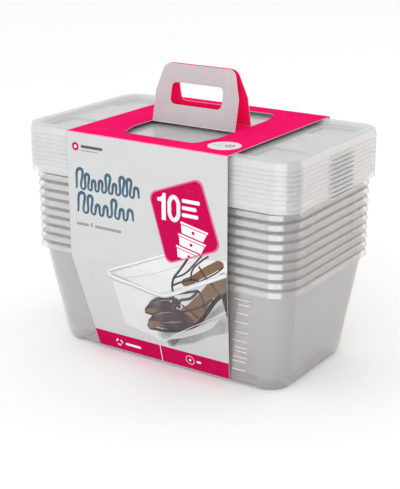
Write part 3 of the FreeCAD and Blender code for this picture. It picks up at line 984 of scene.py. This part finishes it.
def buildPicture(values):
    table = flatPatch("table", values["table"], "pictureTable")
    shadows = [smoothPatch("shadow", shrunk(values["shadow"], share), "pictureShadow")
               for share in (1.12, 1.0, 0.86)]
    inside = flatPatch("inside", values["inside"], "pictureInside")
    insideLow = ribbon("insideLow", [(-33, 103.5), (10, 118), (32, 128), (60, 141)], 0.5, "pictureRimShade")
    endTone = flatPatch("endTone", values["endWall"], "pictureInside")
    sideTone = flatPatch("sideTone", values["sideWall"], "pictureWall")
    bottom = smoothPatch("bottom", values["bottom"], "pictureBottom")
    under = [smoothPatch("under", shrunk(values["under"], share), "pictureShadow")
             for share in (1.15, 1.0, 0.85, 0.7)]

    rearInsole = smoothPatch("rearInsole", [(46, 113), (61, 127), (84, 144), (94, 148.6), (98.6, 145),
                                            (90, 137), (69.5, 123.5), (54, 113)], "pictureInsole")
    rearSole = ribbon("rearSole", [(98.6, 143), (90, 135), (69.5, 121.5), (52, 109.5)], 1.4, "pictureSole")
    rearToe = smoothPatch("rearToe", [(-11, 66), (-6, 76), (4, 86), (18, 92), (34, 94.5), (40, 86),
                                      (26, 76), (10, 68)], "pictureLeather")
    rearToeLip = smoothPatch("rearToeLip", [(-12, 65), (-9, 69.5), (0, 72.5), (5, 71.5), (0, 66.8)],
                             "pictureInsole")
    rearFoot = ribbon("rearFoot", [(-12, 64.5), (4, 66), (16, 70)], 1.8, "pictureSole")
    sole = smoothPatch("sole", [(-11.5, 45.8), (0, 44.0), (20, 46.5), (42, 55), (60, 66.0), (74, 82.5),
                                (88, 101), (104, 117.0), (104, 120.5), (85, 105.0), (71, 87), (56, 71),
                                (41, 59.5), (22, 51.5), (0, 47.8), (-9, 48.0)], "pictureSole")
    insole = smoothPatch("insole", [(37, 75), (51.5, 66.2), (62, 75.0), (72, 88), (83, 104), (104, 120.5),
                                    (104, 136), (84, 125), (66, 106), (50, 90)], "pictureInsole")
    toe = smoothPatch("toe", [(-9.5, 52), (-5, 60.5), (3, 68.5), (14, 76), (27, 82), (40, 78), (54, 67),
                              (42, 59.5), (22, 51.5), (4, 49.5)], "pictureLeather")
    toeLip = smoothPatch("toeLip", [(-12, 46.8), (-9, 53), (0, 56.5), (7, 55.0), (1, 48.8)], "pictureInsole")
    sheens = [ribbon("sheen", points, width, "pictureSheen") for points, width in (
        ([(2, 64, 0.3), (14, 70.5, 1.0), (27, 74, 0.3)], 2.0),
        ([(10, 57, 0.3), (24, 60.5, 1.0), (38, 65, 0.3)], 2.6),
        ([(4, 80, 0.3), (16, 86.5, 1.0), (28, 88.5, 0.3)], 1.8),
    )]
    heel = flatPatch("heel", [(94.6, 108), (97.2, 84.5), (101.6, 83.5), (104, 117)], "pictureSole", 0.8, 3)

    straps = [ribbon("strap", points, width, "pictureStrap") for points, width in (
        ([(33, 92), (32, 106), (36, 118), (45, 130), (54, 143), (60, 152)], 2.4),
        ([(37, 119), (50, 126), (64, 141), (74, 153)], 1.8),
        ([(33, 109), (46, 116), (58, 121), (68, 122)], 2.0),
        ([(58, 121), (60, 132), (70, 143), (80, 151)], 1.8),
        ([(68, 138), (74, 130), (80, 124), (85, 121)], 1.8),
        ([(20, 90), (34, 98), (50, 104), (66, 110)], 2.6),
        ([(27, 81), (40, 92), (54, 98), (66, 110)], 3.2),
        ([(22, 92), (36, 88), (50, 82), (60, 75)], 2.6),
        ([(40, 78), (56, 85), (70, 93), (82, 103)], 2.4),
        ([(66, 110), (70, 100), (70, 92), (74, 85)], 2.0),
        ([(84, 124), (88, 116), (92, 112), (96, 110)], 2.0),
    )]
    beads = [disc("bead", spot, 1.1, "pictureInside", 12)
             for spot in ((27, 88), (34, 95), (40, 86), (34, 81))]

    endWall = flatPatch("endWall", values["endWall"], "pictureEndFilm")
    sideWall = flatPatch("sideWall", values["sideWall"], "pictureFilm")
    corner = ribbon("corner", [(9.5, 90), (8.2, 60), (9.5, 38)], 7.5, "pictureFilm")
    cornerEdge = ribbon("cornerEdge", [(4.8, 90), (3.2, 60), (1.5, 37)], 2.0, "pictureFilm")
    base = ribbon("base", [(-43, 42.5), (-8, 36.6), (3, 33.2), (13.5, 35.6), (22, 43), (98, 91)],
                  0.6, "pictureRim")
    rimShade = ribbon("rimShade", [(x, z - 2.4) for x, z in values["rimNear"]], 1.4, "pictureRimShade")
    rimFar = ribbon("rimFar", values["rimFar"], 0.5 * values["rimWidth"], "pictureRim")
    rimFarShade = ribbon("rimFarShade", [(x, z - 1.8) for x, z in values["rimFar"][1:]], 0.7,
                         "pictureRimShade")
    rimNear = ribbon("rimNear", values["rimNear"], values["rimWidth"], "pictureRim")
    rimInner = ribbon("rimInner", [(x + 1.0, z + 1.6) for x, z in values["rimNear"][1:]], 0.5,
                      "pictureRimShade")
    printed("picture", enumerate((
        [table],
        [shadows[0], inside],
        [shadows[1], insideLow, endTone],
        [shadows[2], sideTone, rimFarShade],
        [bottom, rearInsole, rimFar],
        [under[0], rearSole],
        [under[1], rearToe],
        [under[2], rearToeLip, rearFoot],
        [under[3], sole, heel],
        [insole, toe],
        [toeLip, *sheens],
        straps,
        beads,
        [endWall, sideWall],
        [corner, cornerEdge, base],
        [rimShade],
        [rimNear],
        [rimInner],
    ), 1))


# band along the foot of the card
band = {
    "top": 25.0, "foot": 4.3, "dividerAt": 0.3, "dividerWidth": 0.9,
    "arcsAt": (-58.2, 14.0), "arcsRadius": 3.7, "arcsStroke": 1.9,
    "longBar": (-49.5, -28.0, 12.2, 15.4),
    "ringAt": (39.0, 15.6), "ringRadius": 5.3, "ringStroke": 0.6,
    "shortBar": (47.6, 53.4, 14.2, 17.0),
}


def buildBand(values):
    low, high = values["foot"], values["top"]
    strip = flatPatch("strip", [(-110, low), (110, low), (110, high), (-110, high)], "inkTag")
    marks = [bar("divider", values["dividerAt"] - values["dividerWidth"] / 2,
                 values["dividerAt"] + values["dividerWidth"] / 2, low, high, "inkWhite", 0),
             bar("longBar", *values["longBar"], "inkWhite"),
             bar("shortBar", *values["shortBar"], "inkWhite"),
             ringShape("ring", values["ringAt"], values["ringRadius"], values["ringStroke"], "inkWhite"),
             disc("ringDot", values["ringAt"], 1.5, "inkWhite", 16)]
    x, z = values["arcsAt"]
    radius = values["arcsRadius"]
    for k in range(3):
        start = math.radians(90 + 120 * k)
        angles = [start + math.radians(turn) for turn in (14, 38, 62, 86)]
        marks.append(ribbon("arc", [(x + radius * math.cos(a), z + radius * math.sin(a)) for a in angles],
                            values["arcsStroke"], "inkWhite", steps=4))
    printed("band", ((1, [strip]), (2, marks)))


buildPicture(picture)
buildTag(tag)
buildBand(band)


# round badge on the top panel
badge = {
    "centre": (77.5 * mm, -74.0 * mm), "radius": 17.5 * mm, "step": 0.06 * mm,
    "ringRadius": 5.2 * mm, "ringStroke": 1.5 * mm,
    "ringAcross": 0.3, "ringBack": 0.12, "dotsFront": 0.09,       # shares of the badge's radius
    "dotsAcross": (-0.62, -0.42, -0.22), "dotRadius": 0.9 * mm,
}


def topDisc(name, x, y, radius, layer, colour, sides):
    made = added(name, bpy.ops.mesh.primitive_circle_add, vertices=sides, radius=radius,
                 fill_type="NGON", location=(x, y, topHigh.z))
    settle(made)
    finishWith(made, "SOLIDIFY", thickness=layer * badge["step"], offset=1)
    return paint(made, colour)


def buildBadge(values):
    x, y = values["centre"]
    whole, ring = values["radius"], values["ringRadius"]
    middle = (x + values["ringAcross"] * whole, y + values["ringBack"] * whole)
    parts = [topDisc("plate", x, y, whole, 1, "inkWhite", 48),
             topDisc("ringOuter", *middle, ring, 2, "inkTag", 24),
             topDisc("ringInner", *middle, ring - values["ringStroke"], 3, "inkWhite", 24),
             topDisc("ringDot", *middle, 0.3 * ring, 4, "inkTag", 16)]
    for across in values["dotsAcross"]:
        parts.append(topDisc("dot", x + across * whole, y - values["dotsFront"] * whole,
                             values["dotRadius"], 2, "inkDark", 12))
    disk = joined("badge", parts)
    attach(disk, "sleeve")
    print("badge ready")


buildBadge(badge)


# clear boxes and lids
graduation = {
    "wallAtGround": 77.3 * mm, "wallSlope": 0.148, "cornerAtGround": 106.0 * mm, "cornerSlope": 0.14,
    "proud": 0.25 * mm, "thick": 0.55 * mm, "soft": 0.12 * mm,
    # height of each line, and its length
    "lines": ((19, 17), (29.5, 16.5), (35, 16), (42, 13), (47, 15), (55, 18), (66, 15), (78, 17),
              (88.5, 15), (99, 13), (105, 18)),
}


def buildGraduation(values):
    parts = []
    for height, length in values["lines"]:
        z = height * mm
        right = values["cornerAtGround"] + values["cornerSlope"] * z
        wall = -(values["wallAtGround"] + values["wallSlope"] * z)
        line = added("line", bpy.ops.mesh.primitive_cube_add, size=1,
                     location=(right - length * mm / 2, wall, z))
        line.scale = (length * mm, 2 * values["proud"], values["thick"])
        settle(line)
        finishWith(line, "BEVEL", width=values["soft"], segments=2)
        parts.append(line)
    marks = joined("tub_01_scale", parts)
    paint(marks, "scalePlastic")
    softShade(marks, 40)
    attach(marks, "stack")


buildGraduation(graduation)
for name, node in nodes.items():
    if name.startswith(("tub", "lid")):
        paint(node, name[:3] + "Plastic")
print("boxes and lids ready")
